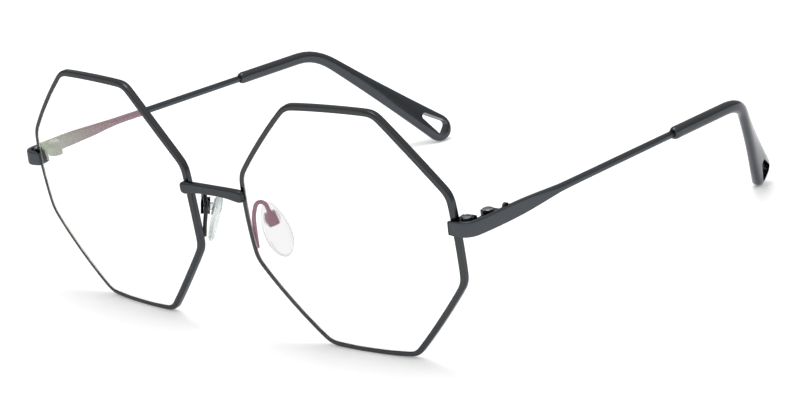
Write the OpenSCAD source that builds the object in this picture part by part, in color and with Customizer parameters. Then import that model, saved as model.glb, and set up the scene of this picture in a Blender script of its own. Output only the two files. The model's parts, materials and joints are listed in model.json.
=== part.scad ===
// Thin metal spectacle frame with eight-sided lenses, adjustable nose pads and folding temples.
// It stands level on the lower edges of the rims and the ends of the temple tips.
// Left and right are the wearer's, so left is +X. The front faces -Y and +Z is up.
// Sizes are in millimetres and angles in degrees.

/* [Lens shape] */
// Width of the lens shape, measured along the middle of the rim
lens_w = 54; // [50:0.5:58]
// Height of the lens shape, measured along the middle of the rim
lens_h = 55; // [50:0.5:58]
// Length of the straight top and bottom sides
top_flat = 22.7; // [19:0.2:26]
// Length of the upright sides
side_flat = 19.6; // [17:0.2:23]
// Height of the upright sides' middle above the lens centre
side_rise = 0.8; // [0:0.1:1.5]
// How far the middle of each side bulges past a straight line
side_bow = 0.45; // [0.1:0.05:0.8]
// Distance from each corner at which its rounding starts
corner_cut = 1.9; // [1.2:0.1:2.6]
// Radius of the lens's front curve
base_r = 160; // [110:5:220]
// Thickness of the lenses
lens_t = 1.2; // [1:0.05:1.25]

/* [Rims] */
// Distance between the two lens centres
lens_spacing = 72; // [70:0.5:76]
// Width of the rim, seen from the front
rim_w = 1.1; // [1:0.05:1.4]
// Depth of the rim, front to back
rim_d = 1.3; // [1.3:0.05:2]
// Rounding of the rim's edges
rim_round = 0.2; // [0.15:0.05:0.3]
// Depth of the groove that holds the lens
groove_d = 0.4; // [0.3:0.02:0.45]
// Width of the groove
groove_w = 0.65; // [0.6:0.05:0.8]
// Play between the lens and the groove
lens_gap = 0.05; // [0.03:0.01:0.1]
// Turn of each lens towards the side of the head
face_wrap = 5.4; // [2:0.2:7]
// Forward lean of the front over its lower edge
front_tilt = 6; // [3:0.5:9]
// Gap at which each rim is split beside the hinge
split_gap = 0.25; // [0.15:0.05:0.5]

/* [Bridge] */
// How far each end of the bar reaches past the middle line of the rim
bridge_lap = 0.15; // [0.1:0.05:0.6]
// Height of the bar at its ends
bridge_end_h = 2.8; // [2.2:0.1:3.2]
// Height of the bar in the middle
bridge_mid_h = 2; // [1.8:0.1:2.8]
// Depth of the bar, front to back
bridge_d = 1.7; // [1.4:0.1:2]
// How far the middle of the bar arches upwards
bridge_arch = 0.4; // [0:0.1:0.9]
// Height of the bar above the lens centres
bridge_up = 6.15; // [5:0.05:7]

/* [Nose pads] */
// Length of a silicone pad
pad_len = 12.8; // [12:0.2:15]
// Width of a pad
pad_w = 6; // [5.8:0.2:7]
// Thickness of a pad
pad_t = 2.4; // [2.2:0.1:3]
// Turn of a pad away from facing straight across the nose
pad_splay = 40; // [30:1:44]
// Spread of the pads' lower ends
pad_flare = 16; // [10:1:22]
// Distance of the pad's middle below its pivot
pad_drop = 2.6; // [1:0.1:2.8]
// How far the pads are rocked in their boxes, lower ends outwards
pad_rock = 10; // [0:1:14]
// Diameter of the pad arm's wire
arm_d = 1; // [0.8:0.05:1.1]
// Outer width of the pad box
box_w = 2.4; // [2.2:0.1:2.8]
// Height of the pad box
box_h = 3; // [2.6:0.1:3.4]
// Thickness of the tab that sits in the box
tab_t = 0.9; // [0.7:0.05:1]
// Radius of the pad screw's shank
pad_screw_r = 0.4; // [0.35:0.01:0.45]

/* [Temples] */
// Height of the flat strip at the hinge
strip_h = 3.3; // [3:0.1:3.6]
// Thickness of the strip
strip_t = 1.2; // [1:0.05:1.3]
// Diameter of the wire that the strip tapers into
wire_d = 1.7; // [1.4:0.05:1.8]
// Distance behind the hinge at which the taper starts
taper_start = 5; // [3:0.5:8]
// Distance behind the hinge at which the taper ends
taper_end = 24; // [18:0.5:28]
// Distance from the hinge back to the bend over the ear
bend_back = 92; // [85:0.5:95]
// How far the temples draw in between the hinge and the bend
draw_in = 1.8; // [0.5:0.1:3]
// How far the temples sink between the hinge and the bend
temple_sink = 1.5; // [0.5:0.1:2.5]
// Length of the wrapped end that laps over the rim
lap_len = 6.3; // [5:0.1:6.5]
// Gap between the wrapped end and the rim
lap_gap = 0.2; // [0.1:0.01:0.25]

/* [Temple tips] */
// Distance from the bend forward to the start of the tip
tip_lead = 28; // [20:0.5:30]
// Height of the tip along its straight part
tip_h = 3; // [2.6:0.1:3.2]
// Thickness of the tip
tip_t = 2.5; // [2.2:0.1:2.8]
// Width of the tip's blade at its end
blade_w = 7.3; // [6.6:0.1:8]
// Thickness of the blade at its end
blade_t = 2.8; // [2.4:0.1:3]
// Angle at which the blade drops behind the ear
drop_angle = 40; // [34:0.5:46]
// Turn of the blade towards the head
tip_lean = 27; // [10:0.5:32]
// Twist of the blade's upper edge away from the head
blade_twist = 21; // [0:1:24]
// Length of the three-cornered hole in the blade
eye_len = 8.4; // [7:0.1:9]
// Width of that hole at its wide end
eye_w = 4.3; // [3.6:0.1:4.6]
// Length of the wire's core inside the tip
core_len = 18; // [10:0.5:20]

/* [Hinges] */
// Height of the hinge axis and the strip's middle above the lens centres
hinge_up = 4.55; // [3.8:0.05:5.2]
// Distance from the rim's side out to the hinge axis
hinge_out = 2.05; // [1.9:0.05:2.3]
// Distance from the rim's front back to the hinge axis
hinge_back = 7.7; // [7.2:0.1:8.5]
// Outer radius of the knuckles
knuckle_r = 1.6; // [1.4:0.05:1.7]
// Height of the knuckle stack
knuckle_h = 3.1; // [2.8:0.1:3.6]
// Height of the middle knuckle
tongue_h = 1.1; // [0.9:0.05:1.3]
// Play above and below the middle knuckle
knuckle_gap = 0.05; // [0.03:0.01:0.1]
// Radius of the hinge screw's shank
hinge_screw_r = 0.7; // [0.6:0.05:0.8]
// Radial play between a screw and the piece that turns on it
running_gap = 0.05; // [0.02:0.01:0.08]
// Length of the temple's hinge leaf behind the axis
leaf_len = 6.2; // [4.5:0.1:6.5]
// Height of that leaf behind the knuckles
leaf_h = 2.5; // [2.2:0.1:2.9]
// Thickness of the temple's hinge leaf
leaf_t = 0.65; // [0.5:0.05:0.7]
// Width and depth of the closing blocks
block_w = 2.7; // [2.5:0.1:2.9]
// Height of one closing block
block_h = 1.6; // [1.4:0.05:1.7]
// Radius of the closing screw's shank
closing_screw_r = 0.55; // [0.45:0.05:0.6]

/* [Hidden] */
// Sideways gap that a brazed or pressed joint leaves between two pieces
seat = 0.03;
// Play of a screw in a piece that it holds fast
screw_fit = 0.02;
bore_fn = 48;
curve_fn = 240;
wire_sides = 16;

// General helpers
function unit(v) = v / norm(v);
function mix(a, b, t) = a + (b - a) * t;
function signed_pow(x, e) = sign(x) * pow(abs(x), e);
function ease(t) = let (s = min(max(t, 0), 1)) s * s * (3 - 2 * s);
function curve(a, k, b, t) = (1 - t) * (1 - t) * a + 2 * t * (1 - t) * k + t * t * b;

// A superellipse in its own plane: an exponent of 2 is an oval and a high one a rounded rectangle
function oval(h, t, exponent, sides) =
    [for (j = [0 : sides - 1])
        let (a = 360 * j / sides)
        [h / 2 * signed_pow(cos(a), 2 / exponent), t / 2 * signed_pow(sin(a), 2 / exponent)]];

// A line through points whose inner corners are rounded over the given distances
function rounded_path(points, cuts, steps) =
    let (last = len(points) - 1)
    [points[0],
     for (i = [1 : last - 1])
        let (p = points[i],
             a = p + unit(points[i - 1] - p) * cuts[i - 1],
             b = p + unit(points[i + 1] - p) * cuts[i - 1])
        for (k = [0 : steps]) curve(a, p, b, k / steps),
     points[last]];

function tangent(path, i) =
    unit(path[min(i + 1, len(path) - 1)] - path[max(i - 1, 0)]);

// A solid through closed rings of points that turn right-handed about the way they run
module sweep(rings) {
    n = len(rings[0]);
    last = len(rings) - 1;
    sides = [for (i = [0 : last - 1], j = [0 : n - 1])
        let (a = i * n + j, b = i * n + (j + 1) % n, c = a + n, d = b + n)
        each [[a, c, d], [a, d, b]]];
    start_cap = [for (j = [0 : n - 1]) j];
    end_cap = [for (j = [n - 1 : -1 : 0]) last * n + j];
    polyhedron([for (r = rings) each r], concat(sides, [start_cap, end_cap]));
}

// Lens shape: eight corners, anticlockwise from the upper one on the temple side
side_top = side_rise + side_flat / 2;
side_foot = side_rise - side_flat / 2;
corners = [[lens_w / 2, side_top], [top_flat / 2, lens_h / 2],
           [-top_flat / 2, lens_h / 2], [-lens_w / 2, side_top],
           [-lens_w / 2, side_foot], [-top_flat / 2, -lens_h / 2],
           [top_flat / 2, -lens_h / 2], [lens_w / 2, side_foot]];
// Points on each rounded corner, and the side that the rim is split on
corner_steps = 4;
split_side = 7;
function corner(i) = corners[(i + 8) % 8];
function side_vector(i) = corner(i + 1) - corner(i);
function side_out(i) = let (d = unit(side_vector(i))) [d.y, -d.x];
function on_side(i, s) = mix(corner(i), corner(i + 1), s) + side_out(i) * 4 * side_bow * s * (1 - s);
function along_side(i, s) = side_vector(i) + side_out(i) * 4 * side_bow * (1 - 2 * s);
function meet(p, d, q, e) = p + d * cross(q - p, e) / cross(d, e);
function cut_share(i) = corner_cut / norm(side_vector(i));
function corner_arc(i) =
    let (a = on_side(i + 7, 1 - cut_share(i + 7)),
         b = on_side(i, cut_share(i)),
         k = meet(a, along_side(i + 7, 1 - cut_share(i + 7)), b, along_side(i, cut_share(i))))
    [for (t = [0 : corner_steps]) curve(a, k, b, t / corner_steps)];
function side_inner(i) = [on_side(i, 1 / 3), on_side(i, 2 / 3)];

// Height of the split above the lens centre, so that the blocks line up with the hinge.
// The blocks' middle lies this far behind the lens centre.
block_middle_y = 7.1;
split_v = (hinge_up - block_middle_y * sin(front_tilt)) / cos(front_tilt);
split_s = (split_v - side_foot) / side_flat;
split_half = split_gap / 2 / side_flat;
rim_path = [on_side(split_side, split_s + split_half),
            for (i = [0 : 6]) each concat(corner_arc(i), side_inner(i)),
            each corner_arc(7),
            on_side(split_side, mix(cut_share(split_side), split_s, 1 / 3)),
            on_side(split_side, mix(cut_share(split_side), split_s, 2 / 3)),
            on_side(split_side, split_s - split_half)];
lens_path = [for (i = [0 : 7]) each concat(corner_arc(i), side_inner(i))];
function path_out(path, i) =
    let (n = len(path), d = unit(path[(i + 1) % n] - path[(i + n - 1) % n])) [d.y, -d.x];
function rim_out(i) =
    i == 0 || i == len(rim_path) - 1 ? side_out(split_side) : path_out(rim_path, i);

// Depth of the lens's curve at a distance from its centre
function sag(r) = base_r - sqrt(base_r * base_r - r * r);
function on_curve(p, depth) = [p.x, sag(norm(p)) + depth, p.y];

// Places in the object: lens to front, and front to the upright object
function turned(p, a) = [p.x * cos(a) - p.y * sin(a), p.x * sin(a) + p.y * cos(a), p.z];
function in_front(p) = turned(p, face_wrap) + [lens_spacing / 2, 0, 0];
function leaned(p) = [p.x, p.y * cos(front_tilt) - p.z * sin(front_tilt),
                      p.y * sin(front_tilt) + p.z * cos(front_tilt)];

// Rim section: distance out from the rim's middle line, and depth behind the rim's front
half_w = rim_w / 2;
groove_front = (rim_d - groove_w) / 2;
groove_back = rim_d - groove_front;
groove_taper = 0.1;
rim_section = [[half_w, rim_round], [half_w, rim_d - rim_round],
               [half_w - 0.3 * rim_round, rim_d - 0.3 * rim_round], [half_w - rim_round, rim_d],
               [rim_round - half_w, rim_d], [-half_w, rim_d - rim_round / 2],
               [-half_w, groove_back], [groove_d - half_w, groove_back - groove_taper],
               [groove_d - half_w, groove_front + groove_taper], [-half_w, groove_front],
               [-half_w, rim_round / 2], [rim_round - half_w, 0],
               [half_w - rim_round, 0], [half_w - 0.3 * rim_round, 0.3 * rim_round]];
rim_rings = [for (i = [0 : len(rim_path) - 1])
    [for (s = rim_section) on_curve(rim_path[i] + rim_out(i) * s[0], s[1])]];

// Height of the lens centres above the ground
lens_z = -min([for (r = rim_rings) for (p = r) leaned(in_front(p)).z]);

// Side of the rim at the split, in the front's frame and upright
split_mid = on_side(split_side, split_s);
flank_front = in_front(on_curve(split_mid + [half_w, 0], 0));
flank = leaned(flank_front);

// Hinge axis
hinge_x = flank.x + hinge_out;
hinge_y = flank.y + hinge_back;

// Temple: the strip laps over the rim, wraps round the side and runs back as a wire
knuckle_clear = 0.15;
strip_in = hinge_x + knuckle_r + knuckle_clear;
lap_back_y = flank.y - strip_h / 2 * tan(front_tilt) - lap_gap;
lap_y = lap_back_y - strip_t / 2;
strip_x = strip_in + strip_t / 2;
wrap_lean = 0.6;
wrap_cut = 3.1;
wrap_end_x = strip_x + wrap_lean - lap_len;
wire_shift = 0.15;
wire_start = [strip_x, hinge_y + taper_end, hinge_up];
ear_bend = [strip_x + wire_shift - draw_in, hinge_y + bend_back, hinge_up - temple_sink];
wire_dir = unit(ear_bend - wire_start);
tip_start = ear_bend - wire_dir * tip_lead;
temple_path = concat(
    rounded_path([[wrap_end_x, lap_y, hinge_up], [strip_x - wrap_lean, lap_y, hinge_up],
                  [strip_x, hinge_y, hinge_up]], [wrap_cut], 8),
    [for (k = [0.25 : 0.125 : 1]) mix([strip_x, hinge_y, hinge_up], wire_start, k)],
    [tip_start + wire_dir * core_len]);
lap_round = [0.35, 0.62, 0.9];
strip_exponent = 7;
function taper(y) = ease((y - hinge_y - taper_start) / (taper_end - taper_start));
function temple_ring(i) =
    let (p = temple_path[i],
         t = tangent(temple_path, i),
         up = unit([0, 0, 1] - t * t.z),
         side = cross(t, up),
         k = taper(p.y),
         end_round = i == 0 ? lap_round[2] : 1)
    [for (s = oval(mix(strip_h, wire_d, k) * end_round, mix(strip_t, wire_d, k) * end_round,
                   mix(strip_exponent, 2, k), wire_sides))
        p + up * s.x + side * s.y];
temple_rings = [lap_end_ring(),
                for (i = [0 : len(temple_path) - 1]) temple_ring(i)];
function lap_end_ring() =
    let (p = temple_path[0] - [lap_round[0] * lap_round[1], 0, 0])
    [for (s = oval(strip_h * lap_round[1], strip_t * lap_round[0], strip_exponent, wire_sides))
        p + [0, s.y, s.x]];

// Temple tip: a straight sleeve, a bend over the ear and a flat blade that stands on the ground
blade_end_r = blade_w / 2;
blade_exponent = 2.2;
blade_flare = 1.6;
tip_exponent = 2.2;
blade_side_exponent = 3.4;
blade_dir = [-sin(tip_lean) * cos(drop_angle), cos(tip_lean) * cos(drop_angle), -sin(drop_angle)];
function twisted(flat, t, a) = flat * cos(a) - cross(flat, t) * sin(a);
blade_side = twisted([cos(tip_lean), sin(tip_lean), 0], blade_dir, blade_twist);
blade_up = cross(blade_side, blade_dir);
// The blade's rounded end, and how far it reaches below the blade's centre
end_angles = [0, 20, 38, 54, 68, 79, 87];
function round_share(d) = pow(1 - pow(d, blade_exponent), 1 / blade_exponent);
function thin_share(h) = mix(1, pow(h, 0.35), 0.6);
foot_drop = -min([for (a = end_angles)
    let (h = round_share(sin(a)))
    for (s = oval(blade_w * h, blade_t * thin_share(h), blade_side_exponent, 20))
        (blade_dir * blade_end_r * sin(a) + blade_up * s.x + blade_side * s.y).z]);
blade_len = (ear_bend.z + lens_z - foot_drop) / sin(drop_angle);
blade_centre = ear_bend + blade_dir * blade_len;
bend_cut = 6.5;
tip_path = concat(
    [for (d = [0, 0.35, 1, 2.2]) tip_start + wire_dir * d],
    [tip_start + wire_dir * (tip_lead / 2)],
    [for (k = [0 : 6]) curve(ear_bend - wire_dir * bend_cut, ear_bend,
                             ear_bend + blade_dir * bend_cut, k / 6)],
    [for (k = [0.3 : 0.14 : 0.87]) ear_bend + blade_dir * blade_len * k],
    [for (a = end_angles) blade_centre + blade_dir * blade_end_r * sin(a)]);
function past_bend(p) = (p - ear_bend) * blade_dir / blade_len;
function blade_share(p) = pow(min(max(past_bend(p), 0), 1), blade_flare);
function end_share(p) =
    let (d = (p - blade_centre) * blade_dir / blade_end_r)
    d <= 0 ? 1 : round_share(d);
function start_share(i) = i == 0 ? 0.66 : i == 1 ? 0.88 : 1;
function tip_ring(i) =
    let (p = tip_path[i],
         t = tangent(tip_path, min(i, len(tip_path) - 8)),
         k = blade_share(p),
         side = twisted(unit(cross(t, [0, 0, 1])), t, blade_twist * ease(past_bend(p))),
         up = cross(side, t),
         h = mix(tip_h, blade_w, k) * end_share(p) * start_share(i),
         w = mix(tip_t, blade_t, k) * thin_share(end_share(p)) * start_share(i))
    [for (s = oval(h, w, mix(tip_exponent, blade_side_exponent, k), 20)) p + up * s.x + side * s.y];
tip_rings = [for (i = [0 : len(tip_path) - 1]) tip_ring(i)];

// Bridge: a rounded bar that arches a little and laps over both rims
bridge_len = lens_spacing - lens_w + 2 * bridge_lap;
bridge_exponent = 3.2;
bridge_seat = in_front(on_curve([-lens_w / 2 - side_bow, bridge_up], 0));
bridge_y = bridge_seat.y - seat - bridge_d / 2;
bridge_shares = [-1, -0.985, -0.94, -0.86, -0.7, -0.45, -0.2, 0, 0.2, 0.45, 0.7, 0.86, 0.94, 0.985, 1];
function bridge_ring(s) =
    let (round_off = max(1 - pow(abs(s), 26), 0),
         bend = ease((1 - abs(s)) * 1.6),
         h = mix(bridge_end_h, bridge_mid_h, bend) * mix(0.5, 1, sqrt(round_off)),
         d = bridge_d * mix(0.5, 1, sqrt(round_off)))
    [for (q = oval(d, h, bridge_exponent, 16))
        [s * bridge_len / 2, bridge_y + q.x, bridge_up + bridge_arch * bend + q.y]];
bridge_rings = [for (s = bridge_shares) bridge_ring(s)];

// The object's front and back edges set its origin, midway between them
front_y = min([for (r = bridge_rings) for (p = r) leaned(p).y]);
rear_y = max([for (r = tip_rings) for (p = r) p.y]);
mid_y = (front_y + rear_y) / 2;

// Stands the object on the ground, midway between front and back
module upright() {
    translate([0, -mid_y, lens_z]) children();
}
// The wearer's left half, and its mirror image
module left() {
    upright() children();
}
module right() {
    upright() mirror([1, 0, 0]) children();
}
// The leaned front, and the turned lens in it
module on_front() {
    rotate([front_tilt, 0, 0]) children();
}
module on_lens() {
    on_front() translate([lens_spacing / 2, 0, 0]) rotate([0, 0, face_wrap]) children();
}

// Rim: one wire round the lens, split beside the hinge
module eyewire() {
    color([0.12, 0.12, 0.13]) on_lens() sweep(rim_rings);
}
// A curved plate with the lens's outline, and the lens made of a body and a thin tongue
module lens_layer(front, thickness, margin) {
    outline = [for (i = [0 : len(lens_path) - 1]) lens_path[i] + path_out(lens_path, i) * margin];
    intersection() {
        translate([0, base_r, 0]) difference() {
            sphere(r = base_r - front, $fn = curve_fn);
            sphere(r = base_r - front - thickness, $fn = curve_fn);
        }
        rotate([90, 0, 0]) linear_extrude(lens_h, center = true) polygon(outline);
    }
}
module lens() {
    tongue_t = groove_w - 2 * groove_taper - 2 * lens_gap;
    color([0.85, 0.92, 0.88, 0.3]) on_lens() union() {
        lens_layer((rim_d - lens_t) / 2, lens_t, -half_w - lens_gap);
        lens_layer((rim_d - tongue_t) / 2, tongue_t, groove_d - half_w - lens_gap);
    }
}
// Bar over the nose
module bridge() {
    color([0.13, 0.13, 0.14]) upright() on_front() sweep(bridge_rings);
}

// Closing blocks: two halves beside the rim's split, drawn together by a screw
block_front = 0.5;
block_round = 0.9;
block_hook = 0.7;
hook_gap = 0.1;
block_y = flank_front.y + block_front;
block_back = block_y + block_w - seat;
screw_pos = [flank_front.x + (block_w + seat) / 2, (block_y + block_back) / 2];
// Outline of a block from above: a rounded square with a hook behind the rim
module block_plan() {
    inner_x = flank_front.x + seat;
    behind_y = flank_front.y + rim_d + hook_gap;
    translate([inner_x + block_round, block_y + block_round]) offset(r = block_round)
        square([block_w - seat - 2 * block_round, block_back - block_y - 2 * block_round]);
    translate([inner_x, block_y]) square([block_round, block_round]);
    translate([inner_x - block_hook, behind_y])
        square([block_hook + block_round, block_back - behind_y]);
}
// One half of the closing block, above or below the split
module block(up) {
    color([0.12, 0.12, 0.13]) on_front()
        translate([0, 0, split_v + (up ? seat : -seat - block_h)]) difference() {
            linear_extrude(block_h) block_plan($fn = bore_fn);
            translate([screw_pos.x, screw_pos.y, -1])
                cylinder(r = closing_screw_r + screw_fit, h = block_h + 2, $fn = bore_fn);
        }
}
// A slotted screw whose head rests on the ground plane, shank downwards
module screw(shank_r, shank_len, head_r, head_h, slot_w) {
    difference() {
        union() {
            translate([0, 0, -shank_len]) cylinder(r = shank_r, h = shank_len + 0.1, $fn = bore_fn);
            cylinder(r = head_r, h = head_h * 0.6, $fn = bore_fn);
            translate([0, 0, head_h * 0.6 - 0.001])
                cylinder(r1 = head_r, r2 = head_r * 0.8, h = head_h * 0.4, $fn = bore_fn);
        }
        translate([-head_r - 1, -slot_w / 2, head_h * 0.5]) cube([2 * head_r + 2, slot_w, head_h]);
    }
}
// The screw that closes the rim
module closing_screw() {
    color([0.3, 0.3, 0.31]) on_front()
        translate([screw_pos.x, screw_pos.y, split_v + seat + block_h + 0.01])
            rotate([0, 0, 25]) screw(closing_screw_r, 2 * block_h + 2 * seat, 1.15, 0.5, 0.32);
}

// Hinge: the front leaf carries the middle knuckle, the temple leaf the upper and lower ones
foot_t = 0.5;
foot_in = 0.1;
tongue_w = 1.9;
tongue_root = 0.2;
foot_y = block_back + seat;
tongue_y = leaned([0, foot_y + foot_t, split_v]).y - tongue_root;
// Foot on the blocks, tongue and middle knuckle
module front_leaf() {
    color([0.13, 0.13, 0.14]) difference() {
        union() {
            on_front() translate([flank_front.x - foot_in, foot_y, split_v - block_h])
                cube([block_w - foot_in, foot_t, 2 * block_h]);
            translate([hinge_x - tongue_w / 2, tongue_y, hinge_up - tongue_h / 2])
                cube([tongue_w, hinge_y - tongue_y, tongue_h]);
            translate([hinge_x, hinge_y, hinge_up - tongue_h / 2])
                cylinder(r = knuckle_r, h = tongue_h, $fn = bore_fn);
        }
        translate([hinge_x, hinge_y, hinge_up - knuckle_h])
            cylinder(r = hinge_screw_r + running_gap, h = 2 * knuckle_h, $fn = bore_fn);
    }
}
// Upper and lower knuckles with the leaf inside the strip and its locating lug
lug_y = 4;
lug_r = 0.8;
lug_up = 0.4;
slot_clear = 0.12;
module temple_leaf() {
    reach = knuckle_r + knuckle_clear - seat;
    corner_r = 0.6;
    slot_h = tongue_h + 2 * knuckle_gap;
    color([0.13, 0.13, 0.14]) translate([hinge_x, hinge_y, hinge_up]) difference() {
        union() {
            translate([0, 0, -knuckle_h / 2]) cylinder(r = knuckle_r, h = knuckle_h, $fn = bore_fn);
            translate([0, 0, -knuckle_h / 2]) cube([reach, knuckle_r, knuckle_h]);
            hull() {
                translate([reach - leaf_t, 0, -leaf_h / 2]) cube([leaf_t, knuckle_r, leaf_h]);
                for (s = [-1, 1])
                    translate([reach - leaf_t, leaf_len - corner_r, s * (leaf_h / 2 - corner_r)])
                        rotate([0, 90, 0]) cylinder(r = corner_r, h = leaf_t, $fn = bore_fn);
            }
            translate([reach - leaf_t, lug_y, strip_h / 2 + lug_up - lug_r]) rotate([0, 90, 0])
                cylinder(r = lug_r, h = leaf_t, $fn = bore_fn);
        }
        translate([0, 0, -slot_h / 2]) cylinder(r = knuckle_r + slot_clear, h = slot_h, $fn = bore_fn);
        translate([-knuckle_r, -knuckle_r - 1, -slot_h / 2])
            cube([2 * knuckle_r, knuckle_r + 1, slot_h]);
        translate([0, 0, -knuckle_h])
            cylinder(r = hinge_screw_r + screw_fit, h = 2 * knuckle_h, $fn = bore_fn);
    }
}
// The screw that the temple turns about
module hinge_screw() {
    color([0.32, 0.32, 0.33]) translate([hinge_x, hinge_y, hinge_up + knuckle_h / 2 + 0.01])
        rotate([0, 0, 35]) screw(hinge_screw_r, knuckle_h, 1.25, 0.4, 0.32);
}
// Lapped strip and wire, one piece
module temple() {
    color([0.14, 0.14, 0.15]) sweep(temple_rings);
}

// Turns the Z axis along a direction
module aimed(d) {
    rotate([0, acos(d.z), atan2(d.y, d.x)]) children();
}

// The blade's frame: X back along the blade, Y across its width, Z through its thickness
module on_blade() {
    multmatrix([[blade_dir.x, blade_up.x, -blade_side.x, blade_centre.x],
                [blade_dir.y, blade_up.y, -blade_side.y, blade_centre.y],
                [blade_dir.z, blade_up.z, -blade_side.z, blade_centre.z],
                [0, 0, 0, 1]]) children();
}
// The three-cornered hole with rounded corners
module eye_hole() {
    eye_wall = 1.8;
    eye_lift = 0.35;
    wide_r = 1.2;
    narrow_r = 0.9;
    wide_x = blade_end_r - eye_wall - wide_r;
    translate([0, eye_lift, 0]) linear_extrude(3 * blade_t, center = true) hull() {
        for (s = [-1, 1]) translate([wide_x, s * (eye_w / 2 - wide_r)]) circle(r = wide_r, $fn = 24);
        translate([wide_x + wide_r - eye_len + narrow_r, 0]) circle(r = narrow_r, $fn = 24);
    }
}
// Moulded tip with the wire's bore and the hole
module temple_tip() {
    color([0.08, 0.08, 0.09]) difference() {
        sweep(tip_rings);
        translate(tip_start) aimed(wire_dir) translate([0, 0, -1])
            cylinder(d = wire_d + 2 * screw_fit, h = core_len + 1 + seat, $fn = bore_fn);
        on_blade() eye_hole();
    }
}

// Nose pads: the wire loops from the rim's back over into a box that holds the pad's tab.
// The pivot and the loop keep their distances from the middle of the rim's nose side.
nose_side = in_front(on_curve([-lens_w / 2 - side_bow, 0], 0));
pivot_offset = [1.85, 6.12, -1.45];
loop_low = [-0.9, 3.5, -0.2];
loop_high = [-0.15, 4.5, 2.9];
pad_pivot = nose_side + pivot_offset;
box_back = 1.3;
box_front = -0.75;
slot_w = tab_t + 0.2;
tab_r = 0.75;
tab_clear = 0.1;
pad_screw_head = 0.3;
pad_seat_x = -1.2;
core_r = 1.9;

// The pad box's frame, and the rocked pad's: X away from the nose, Y along the pivot
module on_pad() {
    on_front() translate(pad_pivot) rotate([0, -pad_flare, 0]) rotate([0, 0, -pad_splay]) children();
}
module on_rocked_pad() {
    on_pad() rotate([0, -pad_rock, 0]) children();
}
function from_pad(p) =
    let (q = turned(p, -pad_splay))
    [q.x * cos(pad_flare) - q.z * sin(pad_flare), q.y, q.x * sin(pad_flare) + q.z * cos(pad_flare)]
    + pad_pivot;

// The arm stands on the rim's back, arm_in inside the rim's middle line, and enters the box from above
arm_foot_v = -6.9;
arm_in = 0.25;
arm_drop = 2.5;
arm_foot = in_front(on_curve([arm_in - lens_w / 2 - side_bow, arm_foot_v], rim_d + seat + arm_d / 2));
arm_start = arm_foot + [-0.35, 0.6, 3];
arm_end = from_pad([box_back - arm_d / 2, 0, box_h / 2 + seat]);
arm_above = from_pad([box_back - arm_d / 2, 0, box_h / 2 + arm_drop]);
arm_path = rounded_path([arm_foot, arm_start, nose_side + loop_low, nose_side + loop_high,
                         arm_above, arm_end], [1, 1.4, 1.1, 1.1], 4);
arm_rings = [for (i = [0 : len(arm_path) - 1])
    let (t = tangent(arm_path, i),
         side = unit(cross(t, [0, 1, 0.3])),
         up = cross(side, t))
    [for (s = oval(arm_d, arm_d, 2, 10)) arm_path[i] + up * s.x + side * s.y]];
module pad_arm() {
    color([0.15, 0.15, 0.16]) on_front() sweep(arm_rings);
}
// Box with a slot for the pad's tab and a bore for its screw
module pad_box() {
    color([0.16, 0.16, 0.17]) on_pad() difference() {
        translate([box_front, -box_w / 2, -box_h / 2]) cube([box_back - box_front, box_w, box_h]);
        translate([box_front - 1, -slot_w / 2, -box_h])
            cube([tab_r + tab_clear - box_front + 1, slot_w, 2 * box_h]);
        rotate([90, 0, 0])
            cylinder(r = pad_screw_r + screw_fit, h = 2 * box_w, center = true, $fn = bore_fn);
    }
}
// The screw that the pad rocks on
module pad_screw() {
    color([0.75, 0.75, 0.76]) on_pad() translate([0, -box_w / 2 - 0.01, 0]) rotate([90, 0, 0])
        screw(pad_screw_r, box_w, 0.75, pad_screw_head, 0.2);
}
// Stiff insert: a tab in the box and a plate inside the pad
module pad_core() {
    plate_t = 0.5;
    color([0.9, 0.9, 0.92]) on_rocked_pad() difference() {
        union() {
            rotate([90, 0, 0]) cylinder(r = tab_r, h = tab_t, center = true, $fn = bore_fn);
            translate([pad_seat_x, -tab_t / 2, -tab_r]) cube([-pad_seat_x, tab_t, 2 * tab_r]);
            translate([pad_seat_x, 0, 0]) rotate([0, -90, 0])
                cylinder(r = core_r, h = plate_t, $fn = bore_fn);
        }
        rotate([90, 0, 0])
            cylinder(r = pad_screw_r + running_gap, h = 2 * box_w, center = true, $fn = bore_fn);
    }
}

// Silicone pad: rings from its lower end up, an egg in outline and domed to its edge
pad_stations = [-1, -0.97, -0.88, -0.7, -0.45, -0.15, 0.15, 0.45, 0.7, 0.88, 0.97, 1];
pad_rings = [for (s = pad_stations)
    let (round_off = sqrt(max(1 - s * s, 0.012)),
         egg = 1 - 0.12 * s,
         dome = pow(round_off, 0.6))
    [for (q = oval(pad_w * round_off * egg, pad_t * dome, 2.3, 16))
        [pad_seat_x - pad_t / 2 + q.y, q.x, s * pad_len / 2 - pad_drop]]];
module nose_pad() {
    pocket_x = pad_seat_x + 1;
    pocket_depth = 1.5;
    color([0.9, 0.93, 0.94, 0.5]) on_rocked_pad() difference() {
        sweep([for (r = pad_rings) [for (j = [len(r) - 1 : -1 : 0]) r[j]]]);
        translate([pocket_x, 0, 0]) rotate([0, -90, 0])
            cylinder(r = core_r + seat, h = pocket_depth + seat, $fn = bore_fn);
    }
}

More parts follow.
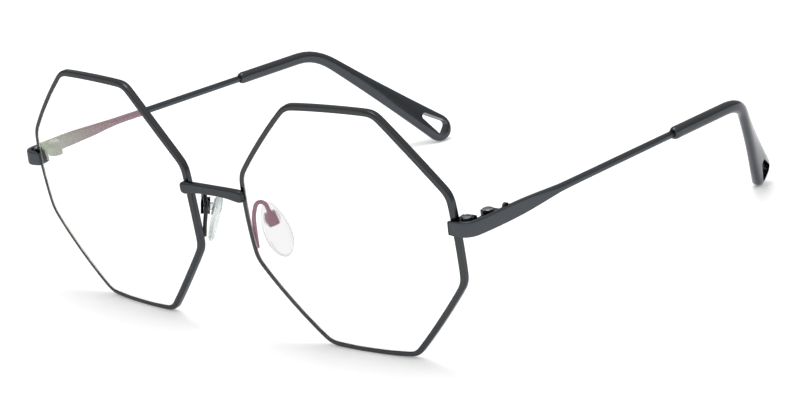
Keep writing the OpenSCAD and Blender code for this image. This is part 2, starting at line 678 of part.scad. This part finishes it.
left() eyewire();  // left_eyewire
right() eyewire();  // right_eyewire
left() lens();  // left_lens
right() lens();  // right_lens
bridge();
left() block(true);  // left_upper_block
right() block(true);  // right_upper_block
left() block(false);  // left_lower_block
right() block(false);  // right_lower_block
left() closing_screw();  // left_closing_screw
right() closing_screw();  // right_closing_screw
left() front_leaf();  // left_front_leaf
right() front_leaf();  // right_front_leaf
left() temple_leaf();  // left_temple_leaf
right() temple_leaf();  // right_temple_leaf
left() hinge_screw();  // left_hinge_screw
right() hinge_screw();  // right_hinge_screw
left() temple();  // left_temple
right() temple();  // right_temple
left() temple_tip();  // left_temple_tip
right() temple_tip();  // right_temple_tip
left() pad_arm();  // left_pad_arm
right() pad_arm();  // right_pad_arm
left() pad_box();  // left_pad_box
right() pad_box();  // right_pad_box
left() pad_screw();  // left_pad_screw
right() pad_screw();  // right_pad_screw
left() pad_core();  // left_pad_core
right() pad_core();  // right_pad_core
left() nose_pad();  // left_nose_pad
right() nose_pad();  // right_nose_pad
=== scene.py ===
import json
import math

import bmesh
import bpy
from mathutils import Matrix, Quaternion, Vector
from mathutils.bvhtree import BVHTree


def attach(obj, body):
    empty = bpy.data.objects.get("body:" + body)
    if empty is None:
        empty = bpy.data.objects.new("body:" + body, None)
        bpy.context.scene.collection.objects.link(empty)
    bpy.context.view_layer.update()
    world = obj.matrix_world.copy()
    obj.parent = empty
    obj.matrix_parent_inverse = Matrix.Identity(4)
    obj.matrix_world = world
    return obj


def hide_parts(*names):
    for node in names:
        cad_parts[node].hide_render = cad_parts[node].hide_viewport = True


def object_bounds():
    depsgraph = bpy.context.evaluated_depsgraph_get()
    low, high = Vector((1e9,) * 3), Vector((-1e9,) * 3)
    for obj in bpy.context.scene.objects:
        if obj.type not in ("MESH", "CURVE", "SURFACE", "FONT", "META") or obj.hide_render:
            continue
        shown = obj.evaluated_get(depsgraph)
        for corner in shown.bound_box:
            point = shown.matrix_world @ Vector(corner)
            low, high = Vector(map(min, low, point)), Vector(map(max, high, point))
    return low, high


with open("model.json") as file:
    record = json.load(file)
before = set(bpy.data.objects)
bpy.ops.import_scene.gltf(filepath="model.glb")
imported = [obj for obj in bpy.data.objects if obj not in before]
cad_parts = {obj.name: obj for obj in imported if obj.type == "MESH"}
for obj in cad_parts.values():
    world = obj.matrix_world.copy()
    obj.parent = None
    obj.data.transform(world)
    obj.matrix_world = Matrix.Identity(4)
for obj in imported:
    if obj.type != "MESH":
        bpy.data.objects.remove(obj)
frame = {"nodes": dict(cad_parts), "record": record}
cad_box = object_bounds()
nodes = frame["nodes"]
SIDES = ("left", "right")

# Camera: degrees round from the front, up from the floor and of tilt, then its place, lens and depth of view
CAMERA_AZIMUTH = 42.30
CAMERA_ELEVATION = 17.76
CAMERA_ROLL = -6.36
CAMERA_PLACE = Vector((0.3821, -0.4289, 0.1951))
CAMERA_LENS_MM = 113.6
SENSOR_MM = 36.0
NEAREST_SEEN = 0.01
FARTHEST_SEEN = 20.0

# Floor: its size and grey, and the glow that it adds for the camera and in mirroring surfaces
FLOOR_SIZE = 3.0
FLOOR_GREY = 0.95
FLOOR_SHINE = 0.15
FLOOR_REFLECTED = 0.75

# Sky: its brightness behind the object, as light on it, and mirrored in it at two heights of the view
BACKGROUND = 1.0
SKY_FILL = 0.92
HORIZON_HEIGHT = 0.1
HORIZON_REFLECTED = 0.7
ZENITH_HEIGHT = 0.9
ZENITH_REFLECTED = 1.3

# Softbox straight above the object
SOFTBOX_HEIGHT = 0.7
SOFTBOX_SIZE = 0.25
SOFTBOX_WATTS = 1.4

# Skin: size of the broad mottling, depth of the grain and the middle value of a noise
MOTTLE_SCALE = 140.0
GRAIN_DEPTH = 0.0001
NOISE_MIDDLE = 0.5

# How strongly the enamel reflects at a grazing angle
ENAMEL_GRAZING = (0.6, 0.6, 0.61, 1.0)

# Lens coating: where it starts and ends, and its reflected colour from the nose to the temple
LENS_NOSE_X = 0.009
LENS_TEMPLE_X = 0.063
LENS_IOR = 1.75
COATING = ((0.0, (0.92, 0.27, 0.5)), (0.35, (0.86, 0.37, 0.46)), (0.6, (0.69, 0.44, 0.35)),
           (0.8, (0.67, 0.7, 0.38)), (1.0, (0.59, 0.95, 0.3)))

# Smoothing: how close two corners are one, the angle from which an edge stays crisp, how flat and how square
# two triangles lie that become one face, and how much a large face outweighs the bend beside it
WELD = 2e-6
CRISP = math.radians(38)
SQUARE_WIRE_CRISP = math.radians(20)
STRIP_CRISP = math.radians(24)
FLAT_PAIR = math.radians(12)
SQUARE_PAIR = math.radians(60)
FLAT_FACE_WEIGHT = 100

# Enamel on the bare metal: its thickness, and what tells a rim's outside from its groove and its lens side
RIM_COAT = 0.00009
BRIDGE_COAT = 0.00014
GROOVE_REACH = 0.0012
OFF_THE_WALL = 1e-5
LENS_SIDE = 0.5
FRONT_SIDE = 0.7
SHARPEST_CORNER = 0.5


def new_material(name):
    """An empty node material: returns it with its tree and its output node."""
    material = bpy.data.materials.new(name)
    material.use_nodes = True
    tree = material.node_tree
    tree.nodes.clear()
    output = tree.nodes.new("ShaderNodeOutputMaterial")
    return material, tree, output


def node(tree, kind, **settings):
    """Adds a node; settings whose names are sockets go to the sockets."""
    made = tree.nodes.new(kind)
    for key, value in settings.items():
        name = key.replace("_", " ")
        if name in made.inputs:
            made.inputs[name].default_value = value
        else:
            setattr(made, key, value)
    return made


def link(tree, source, target):
    tree.links.new(source, target)


def skin_group():
    """Node group: the slightly uneven skin of a sprayed or moulded surface."""
    group = bpy.data.node_groups.new("uneven skin", "ShaderNodeTree")
    sockets = group.interface
    for name in ("Scale", "Roughness", "Spread", "Bump", "Mottle"):
        sockets.new_socket(name, in_out="INPUT", socket_type="NodeSocketFloat")
    sockets.new_socket("Colour", in_out="INPUT", socket_type="NodeSocketColor")
    sockets.new_socket("Colour", in_out="OUTPUT", socket_type="NodeSocketColor")
    sockets.new_socket("Roughness", in_out="OUTPUT", socket_type="NodeSocketFloat")
    sockets.new_socket("Normal", in_out="OUTPUT", socket_type="NodeSocketVector")
    given = group.nodes.new("NodeGroupInput")
    result = group.nodes.new("NodeGroupOutput")
    place = group.nodes.new("ShaderNodeTexCoord")

    grain = node(group, "ShaderNodeTexNoise", Detail=3.0)
    link(group, place.outputs["Object"], grain.inputs["Vector"])
    link(group, given.outputs["Scale"], grain.inputs["Scale"])
    bump = node(group, "ShaderNodeBump", Distance=GRAIN_DEPTH)
    link(group, grain.outputs["Fac"], bump.inputs["Height"])
    link(group, given.outputs["Bump"], bump.inputs["Strength"])
    link(group, bump.outputs["Normal"], result.inputs["Normal"])

    broad = node(group, "ShaderNodeTexNoise", Scale=MOTTLE_SCALE, Detail=2.0)
    link(group, place.outputs["Object"], broad.inputs["Vector"])
    centred = node(group, "ShaderNodeMath", operation="SUBTRACT")
    centred.inputs[1].default_value = NOISE_MIDDLE
    link(group, broad.outputs["Fac"], centred.inputs[0])
    spread = node(group, "ShaderNodeMath", operation="MULTIPLY_ADD")
    link(group, centred.outputs[0], spread.inputs[0])
    link(group, given.outputs["Spread"], spread.inputs[1])
    link(group, given.outputs["Roughness"], spread.inputs[2])
    link(group, spread.outputs[0], result.inputs["Roughness"])

    shade = node(group, "ShaderNodeMath", operation="MULTIPLY_ADD")
    shade.inputs[2].default_value = 1.0
    link(group, centred.outputs[0], shade.inputs[0])
    link(group, given.outputs["Mottle"], shade.inputs[1])
    tinted = node(group, "ShaderNodeVectorMath", operation="SCALE")
    link(group, given.outputs["Colour"], tinted.inputs[0])
    link(group, shade.outputs[0], tinted.inputs["Scale"])
    link(group, tinted.outputs[0], result.inputs["Colour"])
    return group


SKIN = skin_group()


def coated(name, colour, roughness, scale, bump, spread=0.1, mottle=0.2, **shader_values):
    """A Principled material whose colour, roughness and normal come from the uneven skin."""
    material, tree, output = new_material(name)
    skin = node(tree, "ShaderNodeGroup")
    skin.node_tree = SKIN
    for key, value in (("Scale", scale), ("Roughness", roughness), ("Spread", spread), ("Bump", bump),
                       ("Mottle", mottle)):
        skin.inputs[key].default_value = value
    skin.inputs["Colour"].default_value = (*colour, 1.0)
    shader = node(tree, "ShaderNodeBsdfPrincipled", **shader_values)
    link(tree, skin.outputs["Colour"], shader.inputs["Base Color"])
    link(tree, skin.outputs["Roughness"], shader.inputs["Roughness"])
    link(tree, skin.outputs["Normal"], shader.inputs["Normal"])
    link(tree, shader.outputs["BSDF"], output.inputs["Surface"])
    return material


def rim_enamel():
    return coated("satin black rim enamel", (0.04, 0.0423, 0.0445), roughness=0.24, scale=2600.0, bump=0.05,
                  Metallic=1.0, Specular_Tint=ENAMEL_GRAZING)


def temple_enamel():
    return coated("satin black temple enamel", (0.048, 0.0535, 0.059), roughness=0.28, scale=2600.0, bump=0.05,
                  Metallic=1.0, Specular_Tint=ENAMEL_GRAZING)


def fitting_enamel():
    return coated("gloss black pad fitting", (0.024, 0.025, 0.026), roughness=0.18, scale=2600.0, bump=0.05,
                  Metallic=1.0, Specular_Tint=(0.8, 0.8, 0.8, 1.0))


def tip_plastic():
    return coated("gloss black acetate", (0.045, 0.0485, 0.053), roughness=0.15, scale=700.0, bump=0.02,
                  spread=0.05, Metallic=1.0, Specular_Tint=(0.7, 0.7, 0.71, 1.0))


def dark_steel():
    return coated("blackened screw steel", (0.16, 0.163, 0.168), roughness=0.26, scale=3200.0, bump=0.2,
                  Metallic=1.0)


def clear_silicone():
    return coated("clear silicone", (0.69, 0.745, 0.73), roughness=0.2, scale=500.0, bump=0.03, mottle=0.05,
                  Transmission_Weight=0.97, IOR=1.41)


def ground_lens_edge():
    return coated("ground lens edge", (0.8, 0.8, 0.72), roughness=0.6, scale=1800.0, bump=0.1, mottle=0.1,
                  Metallic=1.0)


def lens_plastic():
    """Clear plastic with a coating whose reflection goes from green at the temple to rose at the nose."""
    material, tree, output = new_material("coated lens plastic")
    place = node(tree, "ShaderNodeTexCoord")
    across = node(tree, "ShaderNodeSeparateXYZ")
    link(tree, place.outputs["Object"], across.inputs[0])
    outward = node(tree, "ShaderNodeMath", operation="ABSOLUTE")
    link(tree, across.outputs["X"], outward.inputs[0])
    share = node(tree, "ShaderNodeMapRange", From_Min=LENS_NOSE_X, From_Max=LENS_TEMPLE_X)
    link(tree, outward.outputs[0], share.inputs["Value"])
    bloom = node(tree, "ShaderNodeValToRGB")
    stops = bloom.color_ramp.elements
    stops[0].position, stops[0].color = COATING[0][0], (*COATING[0][1], 1.0)
    stops[1].position, stops[1].color = COATING[-1][0], (*COATING[-1][1], 1.0)
    for position, colour in COATING[1:-1]:
        stops.new(position).color = (*colour, 1.0)
    link(tree, share.outputs[0], bloom.inputs[0])
    shader = node(tree, "ShaderNodeBsdfPrincipled", Transmission_Weight=1.0, IOR=LENS_IOR, Roughness=0.0,
                  Base_Color=(1.0, 1.0, 1.0, 1.0))
    link(tree, bloom.outputs[0], shader.inputs["Specular Tint"])
    link(tree, shader.outputs["BSDF"], output.inputs["Surface"])
    return material


def body_of(name):
    return next(body for body, members in frame["record"]["behaviour"]["bodies"].items() if name in members)


def middle_of(name):
    corners = [Vector(corner) for corner in nodes[name].bound_box]
    return sum(corners, Vector()) / len(corners)


def dress(material, *names):
    """Gives the material to every CAD node named, on both sides where a name has a star."""
    for name in names:
        for whole in ([name.replace("*", side) for side in SIDES] if "*" in name else [name]):
            for slot in nodes[whole].material_slots:
                slot.material = material


def welded_cage(name):
    """A copy of a CAD node's mesh, joined up and with quads where the surface allows them."""
    cage = bmesh.new()
    cage.from_mesh(nodes[name].data)
    bmesh.ops.remove_doubles(cage, verts=cage.verts, dist=WELD)
    bmesh.ops.dissolve_degenerate(cage, edges=cage.edges, dist=WELD)
    bmesh.ops.join_triangles(cage, faces=cage.faces, angle_face_threshold=FLAT_PAIR,
                             angle_shape_threshold=SQUARE_PAIR)
    cage.normal_update()
    return cage


def stand_in(name, cage, materials):
    """Makes the piece that shows in a CAD node's place."""
    for face in cage.faces:
        face.smooth = True
    mesh = bpy.data.meshes.new(name + "_fine")
    cage.to_mesh(mesh)
    cage.free()
    for material in materials:
        mesh.materials.append(material)
    piece = bpy.data.objects.new(name + "_fine", mesh)
    bpy.context.scene.collection.objects.link(piece)
    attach(piece, body_of(name))
    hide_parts(name)
    return piece


def outside_faces(cage, lens_middle):
    """The faces of a rim that look neither at the middle of its lens nor into its groove."""
    rim = BVHTree.FromBMesh(cage)
    outside = set()
    for face in cage.faces:
        middle = face.calc_center_median()
        inward = (lens_middle - middle) * Vector((1, 0, 1))
        facing_wall = rim.ray_cast(middle + face.normal * OFF_THE_WALL, face.normal, GROOVE_REACH)[0]
        if face.normal.dot(inward.normalized()) < LENS_SIDE and not facing_wall:
            outside.add(face)
    return outside


def coat_over(cage, faces, thickness):
    """Thickens a mesh over the faces given and round its front corners, within the whole object's box."""
    moved = {}
    for vert in cage.verts:
        normals = [face.normal for face in vert.link_faces if face in faces]
        if any(normal.y < -FRONT_SIDE for normal in normals):
            normals = [face.normal for face in vert.link_faces]
        if normals:
            mean = sum(normals, Vector()).normalized()
            lean = min(mean.dot(normal) for normal in normals)
            moved[vert] = vert.co + mean * thickness / max(lean, SHARPEST_CORNER)
    for vert, place in moved.items():
        vert.co = [min(max(value, low), high) for value, low, high in zip(place, *cad_box)]


def refined(name, cage, crisp=CRISP):
    """Shows a CAD node by a subdivided cage, with its crisp edges kept."""
    crease = cage.edges.layers.float.new("crease_edge")
    for edge in cage.edges:
        if len(edge.link_faces) == 2 and edge.calc_face_angle() > crisp:
            edge[crease] = 1.0
    piece = stand_in(name, cage, [slot.material for slot in nodes[name].material_slots])
    finer = piece.modifiers.new("finer", "SUBSURF")
    finer.levels = finer.render_levels = 1
    return piece


def make_rim(name):
    """The enamelled eyewire, with its groove left bare and its flat faces shaded flat."""
    cage = welded_cage(name)
    coat_over(cage, outside_faces(cage, middle_of(name.replace("eyewire", "lens"))), RIM_COAT)
    piece = refined(name, cage, SQUARE_WIRE_CRISP)
    even = piece.modifiers.new("flat faces", "WEIGHTED_NORMAL")
    even.weight = FLAT_FACE_WEIGHT


def make_bridge(name):
    cage = welded_cage(name)
    coat_over(cage, set(cage.faces), BRIDGE_COAT)
    refined(name, cage)


def make_temple(name):
    refined(name, welded_cage(name), STRIP_CRISP)


def make_pad_piece(name):
    refined(name, welded_cage(name))


def make_lens(name):
    """The lens with polished faces and a ground edge."""
    cage = welded_cage(name)
    for face in cage.faces:
        face.material_index = 1 if abs(face.normal.y) < FRONT_SIDE else 0
    piece = stand_in(name, cage, [LENS_PLASTIC, GROUND_EDGE])
    keep_crisp(piece)


def keep_crisp(piece):
    crisp = piece.modifiers.new("crisp", "EDGE_SPLIT")
    crisp.split_angle = CRISP


def soften(name):
    """Shades a CAD node smoothly between its crisp edges."""
    piece = nodes[name]
    if "custom_normal" in piece.data.attributes:
        piece.data.attributes.remove(piece.data.attributes["custom_normal"])
    for face in piece.data.polygons:
        face.use_smooth = True
    weld = piece.modifiers.new("weld", "WELD")
    weld.merge_threshold = WELD
    keep_crisp(piece)


def make_camera():
    data = bpy.data.cameras.new("camera")
    data.lens = CAMERA_LENS_MM
    data.sensor_width = SENSOR_MM
    data.clip_start = NEAREST_SEEN
    data.clip_end = FARTHEST_SEEN
    camera = bpy.data.objects.new("camera", data)
    azimuth, elevation = math.radians(CAMERA_AZIMUTH), math.radians(CAMERA_ELEVATION)
    back = Vector((math.sin(azimuth) * math.cos(elevation), -math.cos(azimuth) * math.cos(elevation),
                   math.sin(elevation)))
    level = (-back).to_track_quat("-Z", "Y")
    camera.location = CAMERA_PLACE
    camera.rotation_mode = "QUATERNION"
    camera.rotation_quaternion = level @ Quaternion((0, 0, 1), math.radians(CAMERA_ROLL))
    bpy.context.scene.collection.objects.link(camera)
    bpy.context.scene.camera = camera


def by_ray(tree, seen, mirrored, scattered):
    """A strength that depends on how a ray arrives: seen straight or through glass, mirrored, or scattered."""
    path = node(tree, "ShaderNodeLightPath")
    direct = node(tree, "ShaderNodeMath", operation="MAXIMUM")
    link(tree, path.outputs["Is Camera Ray"], direct.inputs[0])
    link(tree, path.outputs["Is Transmission Ray"], direct.inputs[1])
    indirect = node(tree, "ShaderNodeMix", data_type="FLOAT", A=scattered)
    link(tree, path.outputs["Is Glossy Ray"], indirect.inputs["Factor"])
    if isinstance(mirrored, float):
        indirect.inputs["B"].default_value = mirrored
    else:
        link(tree, mirrored, indirect.inputs["B"])
    strength = node(tree, "ShaderNodeMix", data_type="FLOAT", B=seen)
    link(tree, direct.outputs[0], strength.inputs["Factor"])
    link(tree, indirect.outputs["Result"], strength.inputs["A"])
    return strength.outputs["Result"]


def make_sky():
    """A white studio round the object, which mirrors darker near the horizon than overhead."""
    world = bpy.data.worlds.new("studio")
    bpy.context.scene.world = world
    world.use_nodes = True
    tree = world.node_tree
    tree.nodes.clear()
    output = tree.nodes.new("ShaderNodeOutputWorld")
    sky = node(tree, "ShaderNodeBackground", Color=(1, 1, 1, 1))
    place = node(tree, "ShaderNodeTexCoord")
    height = node(tree, "ShaderNodeSeparateXYZ")
    link(tree, place.outputs["Generated"], height.inputs[0])
    overhead = node(tree, "ShaderNodeMapRange", From_Min=HORIZON_HEIGHT, From_Max=ZENITH_HEIGHT,
                    To_Min=HORIZON_REFLECTED, To_Max=ZENITH_REFLECTED)
    link(tree, height.outputs["Z"], overhead.inputs["Value"])
    strength = by_ray(tree, seen=BACKGROUND, mirrored=overhead.outputs[0], scattered=SKY_FILL)
    link(tree, strength, sky.inputs["Strength"])
    link(tree, sky.outputs[0], output.inputs["Surface"])


def make_floor():
    half = FLOOR_SIZE / 2
    mesh = bpy.data.meshes.new("floor")
    corners = [(-half, -half, 0), (half, -half, 0), (half, half, 0), (-half, half, 0)]
    mesh.from_pydata(corners, [], [(0, 1, 2, 3)])
    floor = bpy.data.objects.new("floor", mesh)
    bpy.context.scene.collection.objects.link(floor)
    material, tree, output = new_material("white table")
    matt = node(tree, "ShaderNodeBsdfDiffuse", Color=(FLOOR_GREY, FLOOR_GREY, FLOOR_GREY, 1))
    glow = node(tree, "ShaderNodeEmission", Color=(1, 1, 1, 1))
    strength = by_ray(tree, seen=FLOOR_SHINE, mirrored=FLOOR_REFLECTED, scattered=0.0)
    link(tree, strength, glow.inputs["Strength"])
    both = node(tree, "ShaderNodeAddShader")
    link(tree, matt.outputs[0], both.inputs[0])
    link(tree, glow.outputs[0], both.inputs[1])
    link(tree, both.outputs[0], output.inputs["Surface"])
    mesh.materials.append(material)


def make_softbox():
    data = bpy.data.lights.new("top softbox", "AREA")
    data.shape = "SQUARE"
    data.size = SOFTBOX_SIZE
    data.energy = SOFTBOX_WATTS
    light = bpy.data.objects.new("top softbox", data)
    light.location = (0, 0, SOFTBOX_HEIGHT)
    bpy.context.scene.collection.objects.link(light)


make_camera()
make_sky()
make_floor()
make_softbox()

LENS_PLASTIC = lens_plastic()
GROUND_EDGE = ground_lens_edge()
dress(rim_enamel(), "*_eyewire", "bridge", "*_upper_block", "*_lower_block", "*_front_leaf")
dress(fitting_enamel(), "*_pad_arm", "*_pad_box")
dress(temple_enamel(), "*_temple", "*_temple_leaf")
dress(tip_plastic(), "*_temple_tip")
dress(dark_steel(), "*_closing_screw", "*_hinge_screw", "*_pad_screw")
dress(clear_silicone(), "*_nose_pad", "*_pad_core")
dress(LENS_PLASTIC, "*_lens")

# Pieces that a finer one stands in for; the others are softened as they are
MAKERS = {"eyewire": make_rim, "bridge": make_bridge, "temple": make_temple, "lens": make_lens,
          "pad_arm": make_pad_piece, "nose_pad": make_pad_piece}
for name in nodes:
    kind = name.split("_", 1)[1] if name.startswith(SIDES) else name
    MAKERS.get(kind, soften)(name)

bpy.context.scene.view_settings.view_transform = "Standard"
